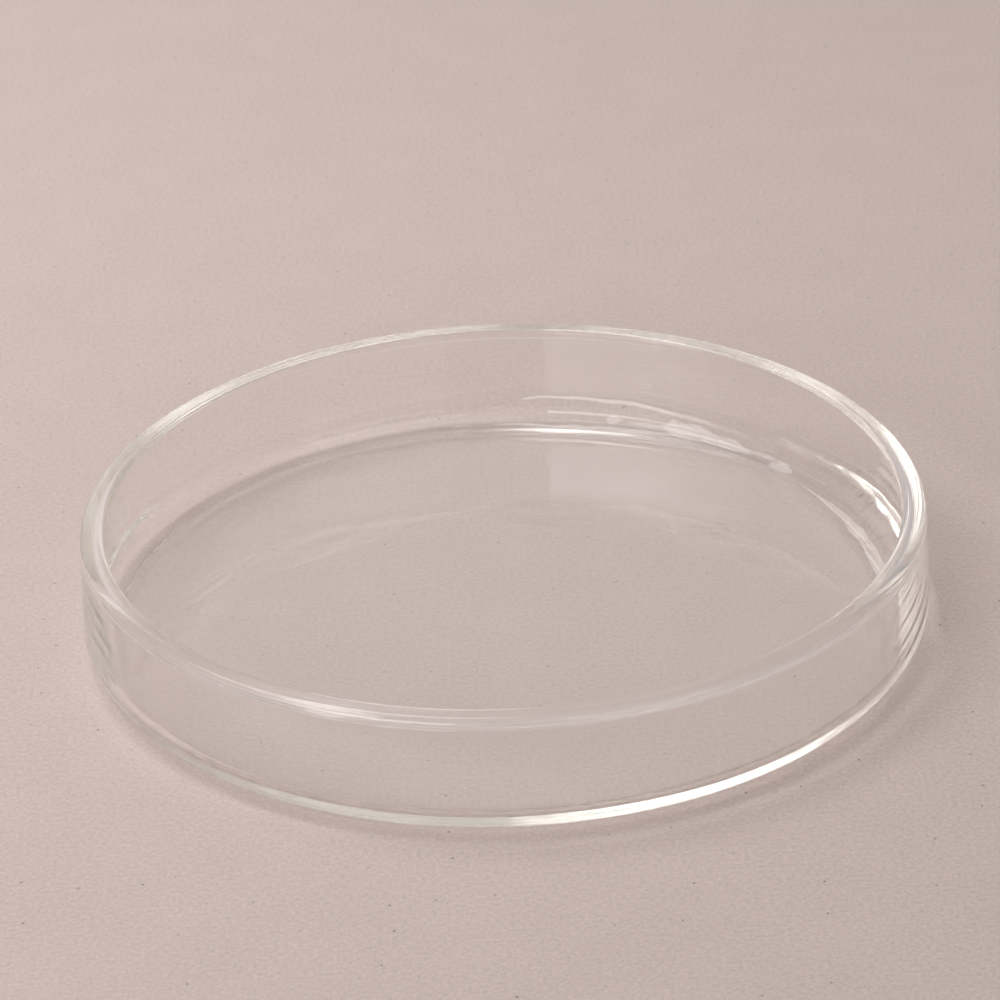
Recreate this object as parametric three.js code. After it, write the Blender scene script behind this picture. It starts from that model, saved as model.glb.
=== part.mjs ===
// Glass petri dish, 100 x 15 mm: a shallow pressed-glass dish and its loose overlapping lid.
//
// Millimetres, +Z up. The origin is the centre of the dish's underside, where it stands on the
// bench. The dish stands open. The lid lies beside it on +X, upside down on its flat top, with
// its skirt up.
import * as THREE from "three";

// ---- sizes -----------------------------------------------------------------
// Dish and lid are the same kind of cup, each described here standing with its open edge up.

const DISH = {
  edgeRadius: 50.0, //      outside, at the rim: a 100 mm dish
  heelRadius: 50.45, //     outside, just above the heel: the wall leans in towards the rim
  height: 15.0, //          underside to rim
  floor: 1.9, //            thickness of the flat floor
  edgeWall: 2.9, //         thickness at the rim, where the melted edge forms a bead
  beadHeight: 1.1, //       over which the bead runs out into the thinner wall
  boreHeelRadius: 48.6, //  inside, at the foot of the wall
  heelRound: 3.6, //        round outer heel
  floorFillet: 2.5, //      between the floor and the wall
  edgeRoundOut: 1.15, //    melted edge on the outside of the flat rim
  edgeRoundIn: 0.7, //      melted edge on its inside
};

const LID_MOUTH_BORE_RADIUS = 51.9; // inside, at the skirt's open edge
const LID_MOUTH_WALL = 2.8; //         thickness there, with its bead

const LID = {
  edgeRadius: LID_MOUTH_BORE_RADIUS + LID_MOUTH_WALL,
  heelRadius: 54.3, //      outside, just above the round corner: the skirt flares to its edge
  height: 14.8, //          the top's outer face to the skirt's open edge
  floor: 2.6, //            thickness of the flat top
  edgeWall: LID_MOUTH_WALL,
  beadHeight: 1.0, //       over which the bead runs out
  boreHeelRadius: 52.4, //  inside, where the skirt meets the top
  heelRound: 3.4, //        round outer corner between the top and the skirt
  floorFillet: 2.2, //      inside that corner, clear of the dish's rim when closed
  edgeRoundOut: 1.0, //     melted edge on the outside of the skirt's open edge
  edgeRoundIn: 0.7, //      melted edge on its inside
};

// The lid comes off by turning over about a line along Y, so it comes to rest twice as far
// from the dish's axis as that line.
const TURN_CLEARANCE = 20.0; // from the skirt's bore to the line
const TURN_LINE_X = LID_MOUTH_BORE_RADIUS + TURN_CLEARANCE;
const LID_REST_X = 2 * TURN_LINE_X;

// ---- resolution ------------------------------------------------------------
const SEGMENTS = 96; // around the axis
const STEPS = { heel: 7, edgeOut: 5, edgeIn: 4, bead: 5, fillet: 6 }; // along the profile

// ---- profile ---------------------------------------------------------------
// Profile points are (radius, height). Angles are in degrees, 0 outward and 90 up.

function arc({ center: [centerRadius, centerHeight], radius, from, to, steps }) {
  const points = [];
  for (let i = 0; i <= steps; i++) {
    const angle = THREE.MathUtils.degToRad(from + ((to - from) * i) / steps);
    points.push(
      new THREE.Vector2(
        centerRadius + radius * Math.cos(angle),
        centerHeight + radius * Math.sin(angle),
      ),
    );
  }
  return points;
}

// Inner side of the bead: an S-curve running down from the edge to the bore. Its first point
// is left out, because the arc before it ends there.
function bead({ topRadius, topHeight, bottomRadius, height, steps }) {
  const points = [];
  for (let i = 1; i <= steps; i++) {
    const t = i / steps;
    const ease = t * t * (3 - 2 * t);
    points.push(
      new THREE.Vector2(topRadius + (bottomRadius - topRadius) * ease, topHeight - height * t),
    );
  }
  return points;
}

// From the axis out along the underside, up the outer wall, over the edge, down the bead and
// the bore, and back to the axis along the floor.
function cupProfile(size) {
  const { edgeRadius, heelRadius, height, floor, boreHeelRadius } = size;
  const { heelRound, floorFillet, edgeRoundOut, edgeRoundIn } = size;
  const undersideRadius = heelRadius - heelRound;
  const floorRadius = boreHeelRadius - floorFillet;
  const boreEdgeRadius = edgeRadius - size.edgeWall;

  // Inward lean of the outer wall from the vertical: both outer arcs stop at this angle, so
  // that they run into the wall without a step.
  const lean = THREE.MathUtils.radToDeg(
    Math.atan2(heelRadius - edgeRadius, height - heelRound - edgeRoundOut),
  );

  return [
    new THREE.Vector2(0, 0),
    new THREE.Vector2(undersideRadius / 2, 0),
    ...arc({
      center: [undersideRadius, heelRound],
      radius: heelRound,
      from: -90,
      to: lean,
      steps: STEPS.heel,
    }),
    ...arc({
      center: [edgeRadius - edgeRoundOut, height - edgeRoundOut],
      radius: edgeRoundOut,
      from: lean,
      to: 90,
      steps: STEPS.edgeOut,
    }),
    ...arc({
      center: [boreEdgeRadius + edgeRoundIn, height - edgeRoundIn],
      radius: edgeRoundIn,
      from: 90,
      to: 180,
      steps: STEPS.edgeIn,
    }),
    ...bead({
      topRadius: boreEdgeRadius,
      topHeight: height - edgeRoundIn,
      bottomRadius: boreHeelRadius,
      height: size.beadHeight,
      steps: STEPS.bead,
    }),
    ...arc({
      center: [floorRadius, floor + floorFillet],
      radius: floorFillet,
      from: 0,
      to: -90,
      steps: STEPS.fillet,
    }),
    new THREE.Vector2(floorRadius / 2, floor),
    new THREE.Vector2(0, floor),
  ];
}

// ---- pieces ----------------------------------------------------------------
// Clear soda-lime glass.
function glass(color) {
  return new THREE.MeshStandardMaterial({
    color,
    roughness: 0.04,
    metalness: 0.0,
    transparent: true,
    opacity: 0.3,
  });
}

// A flat-bottomed round cup, standing on height 0 and open at the top.
function cup({ name, size, color }) {
  const geometry = new THREE.LatheGeometry(cupProfile(size), SEGMENTS);
  geometry.rotateX(Math.PI / 2); // the lathe turns about Y: stand it up along Z
  const mesh = new THREE.Mesh(geometry, glass(color));
  mesh.name = name;
  return mesh;
}

// Both colours are a faint yellow-green, as of a thick pressed piece.
const dish = cup({ name: "dish", size: DISH, color: 0xdfe3d6 });
const lid = cup({ name: "lid", size: LID, color: 0xdde2d8 });
lid.position.x = LID_REST_X;

const petriDish = new THREE.Group();
petriDish.add(dish, lid);

export default petriDish;
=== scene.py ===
"""A shallow pressed-glass dish and its lid on a sheet of paper.

The dish stands at the origin with its mouth up. The lid lies beside it at +X, mouth up too.
+X is the right-hand side, the camera looks from -Y, and the paper is at Z = 0.
Azimuths on the glass run from +X towards +Y, so 90 is the back and 270 the front.
"""
import bpy
import math
import numpy as np
from mathutils import Matrix, Vector


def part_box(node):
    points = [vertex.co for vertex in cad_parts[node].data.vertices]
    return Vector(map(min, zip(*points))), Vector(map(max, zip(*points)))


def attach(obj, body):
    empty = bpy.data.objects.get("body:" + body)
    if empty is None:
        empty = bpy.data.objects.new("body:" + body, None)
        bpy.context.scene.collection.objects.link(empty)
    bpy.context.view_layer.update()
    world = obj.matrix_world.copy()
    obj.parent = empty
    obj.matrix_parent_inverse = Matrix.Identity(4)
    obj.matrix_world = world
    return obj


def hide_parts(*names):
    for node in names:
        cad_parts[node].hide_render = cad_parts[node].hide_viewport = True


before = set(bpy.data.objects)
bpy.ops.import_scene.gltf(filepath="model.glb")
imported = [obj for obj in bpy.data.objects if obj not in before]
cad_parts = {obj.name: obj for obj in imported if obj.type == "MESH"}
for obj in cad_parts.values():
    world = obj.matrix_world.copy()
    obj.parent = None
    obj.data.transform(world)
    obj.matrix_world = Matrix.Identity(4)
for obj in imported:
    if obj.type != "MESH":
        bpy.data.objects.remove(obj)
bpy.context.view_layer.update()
MM = 0.001

# ------------------------------------------------------------------ sizes, in mm
dish_lo, dish_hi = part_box("dish")
lid_lo, lid_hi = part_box("lid")
DISH_H = dish_hi.z / MM
DISH_HEEL_R = (dish_hi.x - dish_lo.x) / 2 / MM
DISH_NOMINAL_H = 15.0  # over which the unevenness of the walls is spread
LID_X = (lid_hi.x + lid_lo.x) / 2 / MM
LID_H = lid_hi.z / MM
LID_RIM_R = (lid_hi.x - lid_lo.x) / 2 / MM
LID_HEEL_R = 54.3
LID_RIM_W = 2.8

PHI = np.radians(np.linspace(0, 360, 480, endpoint=False))  # azimuths of every ring


# ------------------------------------------------------------------ curves
def smooth(t):
    t = np.clip(t, 0.0, 1.0)
    return t * t * (3 - 2 * t)


def wave(terms):
    """Sum of cosines of the azimuth: terms are (count round the ring, size, phase in degrees)."""
    total = np.zeros_like(PHI)
    for count, size, phase in terms:
        total += size * np.cos(count * PHI - math.radians(phase))
    return total


def ripples(x, y, terms):
    """Sum of plane ripples: terms are (wavelength mm, direction deg, phase deg, size mm)."""
    total = np.zeros_like(x)
    for length, direction, phase, size in terms:
        angle = math.radians(direction)
        along = x * math.cos(angle) + y * math.sin(angle)
        total += size * np.cos(2 * math.pi * along / length - math.radians(phase))
    return total


def curve_round(knots):
    """Periodic curve through (azimuth in degrees, value) knots, without overshoot.

    It is made of Hermite pieces whose tangents are weighted harmonic means of the slopes.
    """
    knot_x, knot_y = np.array(sorted(knots), float).T
    knot_x = np.concatenate([knot_x[-2:] - 360, knot_x, knot_x[:2] + 360])
    knot_y = np.concatenate([knot_y[-2:], knot_y, knot_y[:2]])
    width = np.diff(knot_x)
    slope = np.diff(knot_y) / width
    tangent = np.zeros_like(knot_y)
    for i in range(1, len(knot_y) - 1):
        if slope[i - 1] * slope[i] > 0:
            before = 2 * width[i] + width[i - 1]
            after = width[i] + 2 * width[i - 1]
            tangent[i] = (before + after) / (before / slope[i - 1] + after / slope[i])
    tangent[0], tangent[-1] = slope[0], slope[-1]
    degrees = np.degrees(PHI) % 360
    i = np.clip(np.searchsorted(knot_x, degrees, side="right") - 1, 0, len(width) - 1)
    t = (degrees - knot_x[i]) / width[i]
    return (
        (2 * t**3 - 3 * t**2 + 1) * knot_y[i]
        + (t**3 - 2 * t**2 + t) * width[i] * tangent[i]
        + (-2 * t**3 + 3 * t**2) * knot_y[i + 1]
        + (t**3 - t**2) * width[i] * tangent[i + 1]
    )


# ------------------------------------------------------------------ the cup shape
class Profile:
    """Stations (r, z) in mm, each an array over PHI, tagged with the part of the cup."""

    def __init__(self):
        self.r, self.z, self.part = [], [], []

    def add(self, part, r, z):
        self.r.append(r * np.ones_like(PHI))
        self.z.append(z * np.ones_like(PHI))
        self.part.append(part)

    def arc(self, part, centre, radius, start, end, steps):
        for s in steps:
            angle = start + s * (end - start)
            self.add(part, centre[0] + radius * np.cos(angle), centre[1] + radius * np.sin(angle))


def revolve(name, ring_r, ring_z, centre_x):
    """Closed surface from [station, azimuth] arrays in mm, underside first, inner floor last."""
    stations, count = ring_r.shape
    x = ring_r * np.cos(PHI) + centre_x
    y = ring_r * np.sin(PHI)
    points = np.stack([x, y, ring_z], -1).reshape(-1, 3)
    poles = [[centre_x, 0.0, float(ring_z[i].mean())] for i in (0, -1)]
    points = np.concatenate([points, poles]) * MM
    row = np.arange(stations - 1)[:, None] * count
    here = np.arange(count)
    after = (here + 1) % count
    corners = [row + here, row + after, row + count + after, row + count + here]
    quads = np.stack(corners, -1)
    low_pole = stations * count
    top = low_pole - count
    low_fan = np.stack([np.full(count, low_pole), after, here], -1)
    high_fan = np.stack([np.full(count, low_pole + 1), top + here, top + after], -1)
    loops = np.concatenate([quads.ravel(), low_fan.ravel(), high_fan.ravel()])
    sizes = np.concatenate([np.full(quads.size // 4, 4), np.full(2 * count, 3)])
    starts = np.concatenate([[0], np.cumsum(sizes)[:-1]])

    mesh = bpy.data.meshes.new(name)
    mesh.vertices.add(len(points))
    mesh.vertices.foreach_set("co", points.astype(np.float32).ravel())
    mesh.loops.add(len(loops))
    mesh.loops.foreach_set("vertex_index", loops.astype(np.int32))
    mesh.polygons.add(len(sizes))
    mesh.polygons.foreach_set("loop_start", starts.astype(np.int32))
    mesh.update(calc_edges=True)
    mesh.polygons.foreach_set("use_smooth", np.ones(len(sizes), bool))
    mesh.validate()
    return link_object(name, mesh)


def link_object(name, data):
    obj = bpy.data.objects.new(name, data)
    bpy.context.scene.collection.objects.link(obj)
    return obj


def cup(name, *, height, rim_r, heel_r, heel_round, edge_out, edge_in, bore_rim, bore_heel,
        bead, bead_h, rings, ring_deep, corner, corner_power, floor, push, uneven, centre_x=0.0):
    """The pressed-glass cup. Lengths are in mm; corner and corner_power may vary over PHI."""
    profile = Profile()
    # underside: stands on a ring just inside the heel and is pushed up a little in the middle
    flat = heel_r - heel_round
    for t in np.linspace(0.04, 1.0, 22):
        profile.add("under", flat * t, push * (1 - smooth((t - 0.55) / 0.42)))

    lean_out = np.arctan2(heel_r - rim_r, height - heel_round - edge_out)
    profile.arc("heel", (flat, heel_round), heel_round, -math.pi / 2, lean_out,
                np.linspace(0, 1, 25)[1:])
    low_r, low_z = profile.r[-1], profile.z[-1]
    high_r = rim_r - edge_out + edge_out * np.cos(lean_out)
    high_z = height - edge_out + edge_out * np.sin(lean_out)
    for s in np.linspace(0, 1, 15)[1:]:
        profile.add("wall", low_r + (high_r - low_r) * s, low_z + (high_z - low_z) * s)
    profile.arc("rim", (rim_r - edge_out, height - edge_out), edge_out, lean_out, math.pi / 2,
                np.linspace(0, 1, 10)[1:])

    # the cut top of the rim keeps the fine rings of its polishing
    for s in np.linspace(0, 1, 8 * rings + 1)[1:-1]:
        hold = smooth(min(s, 1 - s) / 0.07)
        turn = 2 * math.pi * rings * s + wave([(1, 0.5, 20), (3, 0.35, 80), (7, 0.2, 10)])
        uneven_depth = wave([(2, 0.25, 90 * s), (5, 0.25, 400 * s), (11, 0.2, 900 * s)])
        deep = ring_deep * (1 + uneven_depth)
        profile.add("rim", (rim_r - edge_out) * (1 - s) + (bore_rim + edge_in) * s,
                    height - hold * deep * (0.5 - 0.5 * np.cos(turn)))
    lean_in = np.arctan2(bore_heel - bore_rim, height - floor - corner - edge_in)
    profile.arc("rim", (bore_rim + edge_in, height - edge_in), edge_in, math.pi / 2,
                math.pi + lean_in, np.linspace(0, 1, 10))

    # the rim's melted bead runs out into the thinner wall
    top_r, top_z = profile.r[-1], profile.z[-1]
    drop = top_z - (floor + corner)
    for s in np.linspace(0, 1, 25)[1:] ** 1.5:
        fade = smooth(drop * s / bead_h)
        profile.add("bore", top_r + (bore_heel - top_r) * s + bead * (fade - s), top_z - drop * s)
    power = 2 / corner_power
    for s in np.linspace(0, 1, 21)[1:]:
        angle = s * math.pi / 2
        profile.add("fillet", bore_heel - corner * (1 - abs(math.cos(angle)) ** power),
                    floor + corner * (1 - abs(math.sin(angle)) ** power))
    floor_r = profile.r[-1]
    for t in np.linspace(0, 1, 30)[1:]:
        profile.add("floor", floor_r * (1 - t) + 0.04 * flat * t, floor)

    ring_r, ring_z = uneven(np.array(profile.r), np.array(profile.z), np.array(profile.part))
    return revolve(name, ring_r, ring_z, centre_x)


def unevenness(height, floor_ripple, bore_wander, wall_sink):
    """Cooled glass is never a true surface of revolution.

    Returns a function that ripples the floor by floor_ripple(x, y) and lets the bore and the
    outer wall wander by a few hundredths of a millimetre, by the given wave terms.
    """
    def apply(r, z, part):
        ripple = smooth(r / 9.0) * floor_ripple(r * np.cos(PHI), r * np.sin(PHI))
        is_floor, is_fillet = part == "floor", part == "fillet"
        z = np.where(is_floor[:, None], z + ripple, z)
        # the ripple at the floor's edge fades out up the fillet
        share = np.cumsum(is_fillet) / is_fillet.sum()
        edge = ripple[is_floor][0]
        z = np.where(is_fillet[:, None], z + (share[:, None] ** 2) * edge[None, :], z)
        depth = (height - z) / height
        bore_r = r + wave(bore_wander) * smooth(depth * 2.5)
        r = np.where((part == "bore")[:, None], bore_r, r)
        hold = smooth(depth * 4) * smooth((1 - depth) * 2)
        wall_r = r - 0.02 * hold * (1 + wave(wall_sink))
        return np.where((part == "wall")[:, None], wall_r, r), z

    return apply


# ------------------------------------------------------------------ the dish
# (azimuth, radius of the inside corner in mm): tight at the front, loose and lumpy at the
# back and the right
CORNER_KNOTS = [
    (0, 3.9), (5, 4.2), (11, 4.3), (16, 4.1), (22, 3.8), (28, 3.5), (33, 3.1), (39, 2.9),
    (43.5, 2.9), (45.5, 2.4), (48, 1.95), (53.7, 2.1), (61.7, 2.5), (68, 2.9), (74, 3.2),
    (80, 3.25), (90, 2.7), (104, 2.0), (118, 1.8), (125, 1.8), (136.5, 2.2), (142, 2.1),
    (150, 2.7), (157, 3.1), (170.5, 2.9), (185, 2.3), (205, 1.9), (240, 1.8), (270, 1.7),
    (300, 1.8), (330, 2.1), (350, 3.2),
]
# (azimuth, power of the inside corner): 2 is a round corner; lower is flatter, with a tighter
# turn where it leaves the wall
POWER_KNOTS = [
    (0, 1.2), (30, 1.2), (60, 1.27), (90, 1.27), (120, 1.27), (150, 1.3), (180, 1.5),
    (210, 2.0), (330, 2.0),
]
CORNER_LUMPS = [(17, 0.06, 30), (29, 0.06, 200), (43, 0.05, 75), (61, 0.04, 10)]  # wave terms


def dish_ripple(x, y):
    """A ripple all over the floor, and a stronger one across it at the back right."""
    patch = np.exp(-(((x - 25) / 9.0) ** 2 + ((y - 15) / 6.0) ** 2))
    everywhere = ripples(x, y, [
        (23, 40, 30, 0.034), (14, 100, 200, 0.017), (11, 15, 70, 0.012),
        (8.3, 65, 140, 0.006), (17, 150, 10, 0.015),
    ])
    return everywhere + patch * ripples(x, y, [(9.0, 70, 60, 0.030), (6.5, 20, 10, 0.012)])


dish = cup(
    "dish_glass",
    height=DISH_H,
    rim_r=50.0,
    heel_r=DISH_HEEL_R,
    heel_round=3.6,
    edge_out=1.15,
    edge_in=0.7,
    bore_rim=47.1,
    bore_heel=48.6,
    bead=1.5,
    bead_h=1.1,
    rings=5,
    ring_deep=0.012,
    # the small lumps are on the back half
    corner=curve_round(CORNER_KNOTS) + smooth((np.sin(PHI) + 0.15) / 0.5) * wave(CORNER_LUMPS),
    corner_power=curve_round(POWER_KNOTS),
    floor=1.9,
    push=0.15,
    uneven=unevenness(
        height=DISH_NOMINAL_H,
        floor_ripple=dish_ripple,
        bore_wander=[(2, 0.05, 40), (3, 0.03, 200), (5, 0.012, 100), (9, 0.003, 10)],
        wall_sink=[(4, 0.5, 10), (7, 0.4, 90), (13, 0.3, 200)],
    ),
)


# ------------------------------------------------------------------ the lid
def lid_ripple(x, y):
    return ripples(x, y, [
        (27, 10, 100, 0.036), (15, 80, 20, 0.018), (10, 130, 250, 0.012), (7.6, 40, 90, 0.006),
    ])


lid = cup(
    "lid_glass",
    height=LID_H,
    rim_r=LID_RIM_R,
    heel_r=LID_HEEL_R,
    heel_round=3.4,
    edge_out=1.0,
    edge_in=0.7,
    bore_rim=LID_RIM_R - LID_RIM_W,
    bore_heel=52.4,
    bead=0.5,
    bead_h=1.0,
    rings=3,
    ring_deep=0.03,
    corner=2.3 + wave([
        (1, 0.25, 200), (2, 0.18, 60), (5, 0.10, 10), (17, 0.05, 30), (41, 0.03, 75),
    ]),
    corner_power=1.6,
    floor=2.6,
    push=0.1,
    uneven=unevenness(
        height=LID_H,
        floor_ripple=lid_ripple,
        bore_wander=[
            (2, 0.05, 140), (3, 0.04, 20), (6, 0.02, 200), (11, 0.01, 60), (19, 0.005, 150),
        ],
        wall_sink=[(3, 0.5, 40), (7, 0.4, 130), (12, 0.3, 20)],
    ),
    centre_x=LID_X,
)


# ------------------------------------------------------------------ shader helper
class Shader:
    """Builds the node tree of a material or a world. Values may be numbers or sockets."""

    def __init__(self, owner):
        owner.use_nodes = True
        self.tree = owner.node_tree
        self.tree.nodes.clear()

    def node(self, kind, inputs={}, **settings):
        node = self.tree.nodes.new("ShaderNode" + kind)
        for key, value in settings.items():
            setattr(node, key, value)
        for key, value in inputs.items():
            if isinstance(value, bpy.types.NodeSocket):
                self.tree.links.new(value, node.inputs[key])
            else:
                node.inputs[key].default_value = value
        return node

    def math(self, operation, *values):
        return self.node("Math", dict(enumerate(values)), operation=operation).outputs[0]

    def product(self, first, *others):
        for other in others:
            first = self.math("MULTIPLY", first, other)
        return first

    def scaled(self, colour, factor):
        inputs = {0: colour, "Scale": factor}
        return self.node("VectorMath", inputs, operation="SCALE").outputs[0]

    def span(self, value, over, to=(0.0, 1.0), kind="SMOOTHSTEP"):
        """Maps the range over onto the range to, and holds the ends."""
        inputs = {
            "Value": value, "From Min": over[0], "From Max": over[1],
            "To Min": to[0], "To Max": to[1],
        }
        return self.node("MapRange", inputs, interpolation_type=kind).outputs["Result"]

    def noise(self, vector, scale, detail, roughness=0.5):
        inputs = {"Vector": vector, "Scale": scale, "Detail": detail, "Roughness": roughness}
        return self.node("TexNoise", inputs).outputs["Fac"]

    def cells(self, vector, scale, **settings):
        """Voronoi cells: distance to the cell's point, and the cell's random colour parts."""
        cells = self.node("TexVoronoi", {"Vector": vector, "Scale": scale}, **settings)
        parts = self.node("SeparateColor", {0: cells.outputs["Color"]})
        return cells.outputs["Distance"], parts.outputs


# ------------------------------------------------------------------ glass
TINT = (0.0005, 0.00045, 0.0010)  # red, green and blue absorbed per mm
IOR = 1.515
SPECK_COLOUR = (0.9, 0.88, 0.85, 1)
SPECK_COVER = 0.8

# small chips along the rim: azimuth in degrees, radius, height and size in mm
DISH_CHIPS = [
    (270.9, 49.93, 14.45, 0.13), (271.6, 49.99, 13.90, 0.10), (272.4, 50.0, 13.55, 0.12),
    (270.2, 49.75, 14.80, 0.08), (212.6, 49.98, 13.95, 0.13), (216.0, 49.99, 13.8, 0.10),
    (221.4, 49.99, 13.75, 0.12), (230.0, 49.98, 14.0, 0.10), (205.0, 49.7, 14.8, 0.10),
    (226.0, 48.6, 14.98, 0.07), (241.0, 49.4, 14.93, 0.08), (252.5, 48.2, 14.98, 0.06),
    (287.0, 49.9, 14.5, 0.07), (301.0, 49.6, 14.85, 0.07), (64.0, 47.3, 14.7, 0.09),
    (95.0, 47.25, 14.6, 0.07),
]
LID_CHIPS = [
    (190.0, 54.6, 14.0, 0.11), (231.0, 54.5, 14.4, 0.09), (262.0, 54.65, 13.9, 0.12),
    (318.0, 54.6, 14.1, 0.08), (75.0, 52.1, 14.6, 0.09),
]


def glass_roughness(sh, r, turn, z, rim_z, foot_r, seed):
    """Polishing rings on the rim, scuffs on the ring it stands on, faint smears on the walls."""
    def noise_at(x, y, scale, detail):
        vector = sh.node("CombineXYZ", {0: x, 1: y, 2: seed}).outputs[0]
        return sh.noise(vector, scale=scale, detail=detail)

    # fine across the rim, long round it
    rings = noise_at(sh.product(r, 3.1), sh.product(turn, 0.9), scale=1.0, detail=1.0)
    rim = sh.product(
        sh.span(z, over=(rim_z - 0.30, rim_z - 0.02)),
        sh.span(rings, over=(0.38, 0.62), to=(0.04, 0.22)),
    )
    foot = sh.product(
        sh.span(z, over=(0.02, 0.25), to=(1.0, 0.0)),
        sh.span(r, over=(foot_r - 5.5, foot_r - 3.6), to=(0.0, 0.09)),
    )
    # upright streaks
    streaks = noise_at(sh.product(turn, 7.0), sh.product(z, 0.22), scale=1.6, detail=2.0)
    smear = sh.span(streaks, over=(0.56, 0.74), to=(0.0, 0.06))
    return sh.math("MAXIMUM", sh.math("MAXIMUM", rim, foot), smear)


def pale_specks(sh, here, chips, centre_x):
    """Mask of dust, in the cells with a high random value, and of the chips on the rim."""
    distance, random = sh.cells(here, scale=900)
    dust_size = sh.product(sh.math("SUBTRACT", random[0], 0.8), 0.30)
    dust = sh.product(sh.math("LESS_THAN", distance, dust_size), 0.5)
    nearest = None
    for azimuth, radius, height, size in chips:
        angle = math.radians(azimuth)
        centre = (
            centre_x + radius * math.cos(angle) * MM,
            radius * math.sin(angle) * MM,
            height * MM,
        )
        gap = sh.node("VectorMath", {0: here, 1: centre}, operation="DISTANCE").outputs["Value"]
        gap = sh.math("SUBTRACT", gap, size * MM)
        nearest = gap if nearest is None else sh.math("MINIMUM", nearest, gap)
    chipped = sh.span(nearest, over=(-0.04 * MM, 0.0), to=(1.0, 0.0))
    return sh.math("MAXIMUM", dust, chipped)


def glass_material(name, *, centre_x, rim_z, foot_r, chips, seed):
    """Clear pressed glass that darkens with the path a ray travels inside. centre_x is in m."""
    material = bpy.data.materials.new(name)
    sh = Shader(material)
    light_path = sh.node("LightPath")
    geometry = sh.node("NewGeometry")
    here = sh.node("TexCoord").outputs["Object"]
    place = sh.node("SeparateXYZ", {0: here}).outputs
    x = sh.product(sh.math("SUBTRACT", place[0], centre_x), 1 / MM)
    y = sh.product(place[1], 1 / MM)
    z = sh.product(place[2], 1 / MM)
    r = sh.math("SQRT", sh.math("ADD", sh.product(x, x), sh.product(y, y)))
    turn = sh.math("ARCTAN2", y, x)

    # only a ray that meets the surface from inside has travelled in the glass
    length = sh.product(light_path.outputs["Ray Length"], geometry.outputs["Backfacing"])
    kept = {i: sh.math("EXPONENT", sh.product(length, -c / MM)) for i, c in enumerate(TINT)}
    glass = sh.node("BsdfGlass", {
        "Color": sh.node("CombineColor", kept).outputs[0],
        "Roughness": glass_roughness(sh, r, turn, z, rim_z, foot_r, seed),
        "IOR": IOR,
    }, distribution="MULTI_GGX")
    specks = pale_specks(sh, here, chips, centre_x)
    pale = sh.node("BsdfDiffuse", {"Color": SPECK_COLOUR})
    mix = sh.node("MixShader", {
        0: sh.product(specks, SPECK_COVER), 1: glass.outputs[0], 2: pale.outputs[0],
    })
    sh.node("OutputMaterial", {"Surface": mix.outputs[0]})
    return material


dish.data.materials.append(glass_material(
    "dish_glass", centre_x=0.0, rim_z=DISH_H, foot_r=DISH_HEEL_R, chips=DISH_CHIPS, seed=0.0))
lid.data.materials.append(glass_material(
    "lid_glass", centre_x=LID_X * MM, rim_z=LID_H, foot_r=LID_HEEL_R, chips=LID_CHIPS, seed=5.0))
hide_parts("dish")
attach(dish, "dish")
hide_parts("lid")
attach(lid, "lid")

# ------------------------------------------------------------------ the paper
PAPER_HALF = 6.0
PAPER_Z = -2e-5  # just under the glass
PAPER_COLOUR = (0.516, 0.447, 0.418)
# colour of the painted light that the far sheet gives off
PAPER_PAINTED_GLOW = (0.60, 0.51, 0.47, 1)


def paper_grain_and_painted_light(sh, here):
    """Brightness of the sheet: fibres, clouding, dark flecks, and painted light and shade that make
    it darker to the right and lighter to the back.
    """
    place = sh.node("SeparateXYZ", {0: here}).outputs

    def linear(value, over, to):
        return sh.span(value, over=over, to=to, kind="LINEAR")

    fibre = sh.noise(here, scale=1900, detail=4, roughness=0.65)
    fibre = linear(fibre, over=(0.3, 0.7), to=(0.88, 1.12))
    cloud = linear(sh.noise(here, scale=90, detail=3), over=(0.3, 0.7), to=(0.985, 1.015))
    # about half of the cells hold a fleck, each of its own size
    distance, random = sh.cells(here, scale=150, feature="F1", voronoi_dimensions="2D")
    fleck_size = linear(random[0], over=(0.0, 1.0), to=(0.007, 0.026))
    inside = sh.math("LESS_THAN", distance, fleck_size)
    chosen = sh.math("GREATER_THAN", random[1], 0.45)
    fleck = linear(sh.product(inside, chosen), over=(0, 1), to=(1.0, 0.5))
    # painted light and shade, standing in for the fall of the lamps' light across the sheet: darker
    # to the right, lighter to the back
    across = linear(place[0], over=(-0.07, 0.07), to=(1.01, 0.86))
    away = linear(place[1], over=(-0.08, 0.12), to=(0.99, 1.12))
    return sh.product(sh.product(fibre, cloud, fleck), sh.product(across, away))


def paper_material():
    material = bpy.data.materials.new("bench_paper")
    sh = Shader(material)
    here = sh.node("TexCoord").outputs["Object"]
    bump = sh.node("Bump", {
        "Strength": 0.35,
        "Distance": 0.00004,
        "Height": sh.noise(here, scale=1800, detail=3, roughness=0.6),
    })
    sheet = sh.node("BsdfDiffuse", {
        "Color": sh.scaled(PAPER_COLOUR, paper_grain_and_painted_light(sh, here)),
        "Normal": bump.outputs[0],
    })
    # painted light: far from the dish the sheet glows though it is no lamp, so it keeps its tone
    # where the lamps light it too little
    far = sh.node("VectorMath", {0: here}, operation="LENGTH").outputs["Value"]
    painted_glow = sh.node("Emission", {
        "Color": PAPER_PAINTED_GLOW,
        "Strength": sh.span(far, over=(0.25, 0.8), to=(0.0, 0.55)),
    })
    both = sh.node("AddShader", {0: sheet.outputs[0], 1: painted_glow.outputs[0]})
    sh.node("OutputMaterial", {"Surface": both.outputs[0]})
    return material


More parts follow.
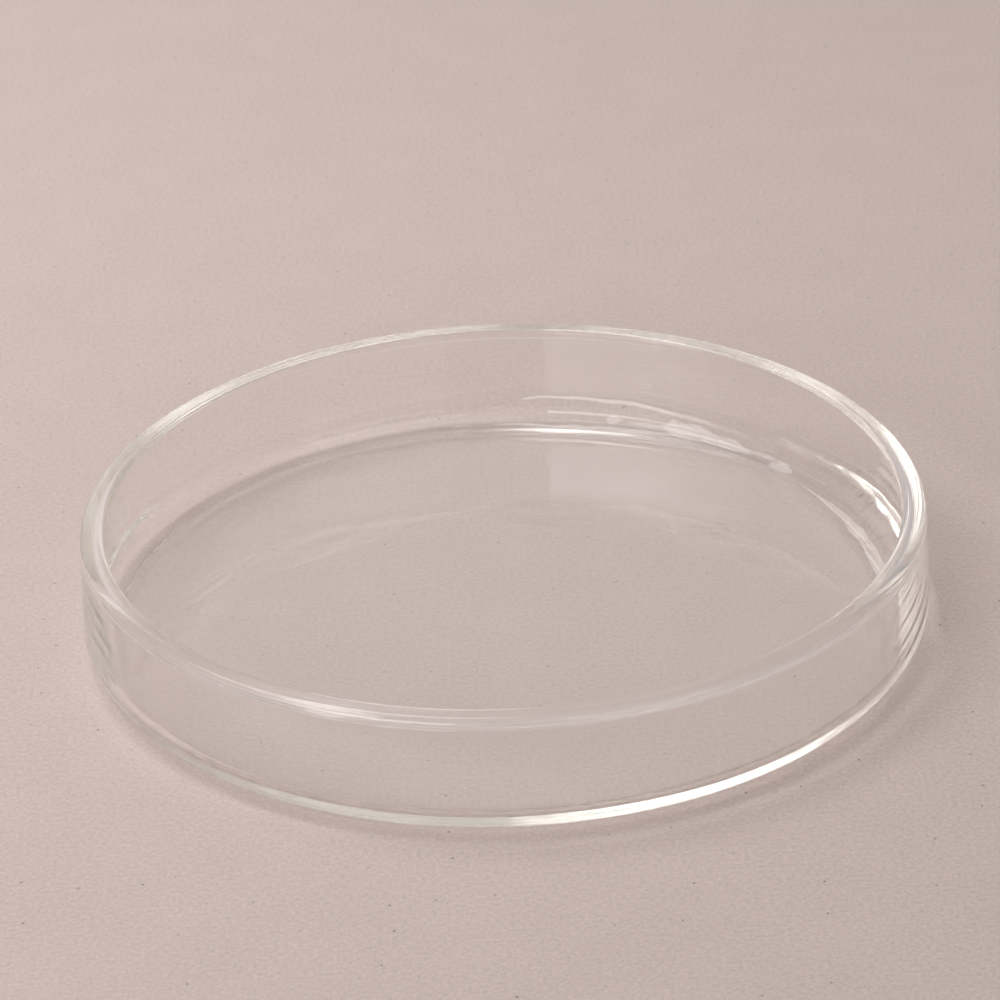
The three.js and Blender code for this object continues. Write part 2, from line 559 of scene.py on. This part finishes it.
paper_mesh = bpy.data.meshes.new("bench_paper")
paper_corners = [(x * PAPER_HALF, y * PAPER_HALF, PAPER_Z)
                 for x, y in [(-1, -1), (1, -1), (1, 1), (-1, 1)]]
paper_mesh.from_pydata(paper_corners, [], [(0, 1, 2, 3)])
paper = link_object("bench_paper", paper_mesh)
paper_mesh.materials.append(paper_material())

# ------------------------------------------------------------------ camera
CAMERA_ELEVATION = math.radians(27.9347)
CAMERA_ROLL = math.radians(-2.4515)
CAMERA_DISTANCE = 0.55  # from the middle of the dish's mouth


def facing(position, backward):
    """Placement at position, with local +Z along backward: cameras and lights look the other way."""
    turn = backward.to_track_quat("Z", "Y").to_matrix().to_4x4()
    return Matrix.Translation(position) @ turn


camera_data = bpy.data.cameras.new("camera")
camera = link_object("camera", camera_data)
target = Vector((0, 0, DISH_H * MM))
backward = Vector((0, -math.cos(CAMERA_ELEVATION), math.sin(CAMERA_ELEVATION)))
camera.matrix_world = (
    facing(target + backward * CAMERA_DISTANCE, backward) @ Matrix.Rotation(CAMERA_ROLL, 4, "Z")
)
camera_data.sensor_width = 36.0
camera_data.lens = 167.496
camera_data.shift_x = -0.002216
camera_data.shift_y = 0.004543
camera_data.clip_start = 0.01
camera_data.clip_end = 50
camera_data.dof.use_dof = True
camera_data.dof.focus_distance = 0.522
camera_data.dof.aperture_fstop = 128.0
bpy.context.scene.camera = camera

# ------------------------------------------------------------------ the room
BACK_COLOUR = (0.20, 0.21, 0.225)  # added to the walls behind the dish
WALL_COLOUR = (0.60, 0.50, 0.455)
CEILING_COLOUR = (0.80, 0.78, 0.76)
WALL_LEFT, WALL_DROP = 1.05, 0.65  # wall brightness at the left, and its loss to the right


def build_world():
    """Pale walls in the paper's colour, much dimmer to the right, and a pale ceiling."""
    world = bpy.data.worlds.new("studio")
    bpy.context.scene.world = world
    sh = Shader(world)
    direction = sh.node("SeparateXYZ", {0: sh.node("TexCoord").outputs["Generated"]}).outputs
    elevation = sh.product(sh.math("ARCSINE", direction[2]), 180 / math.pi)
    right = sh.span(direction[0], over=(-0.9, 0.9))
    ceiling = sh.span(elevation, over=(42, 72))
    behind = sh.span(direction[1], over=(-0.1, 0.85))
    behind = sh.product(behind, sh.math("SUBTRACT", 1.0, ceiling))
    wall_light = sh.math("SUBTRACT", WALL_LEFT, sh.product(right, WALL_DROP))
    walls = sh.product(sh.math("SUBTRACT", 1.0, ceiling), wall_light)
    light = sh.scaled(BACK_COLOUR, behind)
    for colour, amount in [(WALL_COLOUR, walls), (CEILING_COLOUR, ceiling)]:
        part = sh.scaled(colour, amount)
        light = sh.node("VectorMath", {0: light, 1: part}, operation="ADD").outputs[0]
    background = sh.node("Background", {"Color": light, "Strength": 1.0})
    sh.node("OutputWorld", {"Surface": background.outputs[0]})


build_world()


# ------------------------------------------------------------------ lights
def softbox(name, *, azimuths, elevations, distance, radiance, colour):
    """A flat softbox that fills a window seen from the dish.

    Its azimuth is 0 towards the camera and grows to the right; angles are in degrees.
    """
    middle = math.radians(sum(azimuths) / 2)
    half = math.radians((azimuths[1] - azimuths[0]) / 2)
    low, high = (distance * math.tan(math.radians(e)) for e in elevations)
    light = bpy.data.lights.new(name, "AREA")
    light.shape = "RECTANGLE"
    light.size = 2 * distance * math.tan(half)
    light.size_y = high - low
    light.color = colour
    light.energy = radiance * math.pi * light.size * light.size_y
    outward = Vector((math.sin(middle), -math.cos(middle), 0))
    position = outward * distance + Vector((0, 0, (low + high) / 2))
    link_object(name, light).matrix_world = facing(position, outward)


# the left softbox is bright towards the front and dies away round the side
LEFT_STRIPS = [  # azimuth from, azimuth to, radiance
    (-90, -78, 0.3), (-78, -68, 0.9), (-68, -58, 1.9), (-58, -48, 3.0), (-48, -14.4, 4.3),
]
for i, (start, end, radiance) in enumerate(LEFT_STRIPS):
    softbox(f"softbox_left_{i}", azimuths=(start, end), elevations=(20, 36), distance=0.62,
            radiance=radiance, colour=(0.97, 0.97, 1.0))
softbox("softbox_high", azimuths=(-125, -55), elevations=(50, 68), distance=0.5,
        radiance=3.2, colour=(0.97, 0.98, 1.0))
softbox("softbox_right", azimuths=(15, 60), elevations=(20, 46), distance=0.95,
        radiance=0.9, colour=(1.0, 0.97, 0.93))

# a round softbox overhead, a little behind and to the left
TOP_R = 0.25
TOP_RADIANCE = 4.2
TOP_DISTANCE = 1.1
top_light = bpy.data.lights.new("lamp_top", "AREA")
top_light.shape = "DISK"
top_light.size = 2 * TOP_R
top_light.energy = TOP_RADIANCE * math.pi * math.pi * TOP_R**2
top_light.color = (1.0, 0.98, 0.96)
upward = Vector((-0.22, 0.20, 1.0)).normalized()
link_object("lamp_top", top_light).matrix_world = facing(upward * TOP_DISTANCE, upward)

# ------------------------------------------------------------------ render settings
scene = bpy.context.scene
scene.view_settings.view_transform = "Standard"
scene.cycles.max_bounces = 96
scene.cycles.transmission_bounces = 96
scene.cycles.glossy_bounces = 96
scene.cycles.diffuse_bounces = 4
scene.cycles.caustics_refractive = True
scene.cycles.caustics_reflective = True
scene.cycles.blur_glossy = 0.0
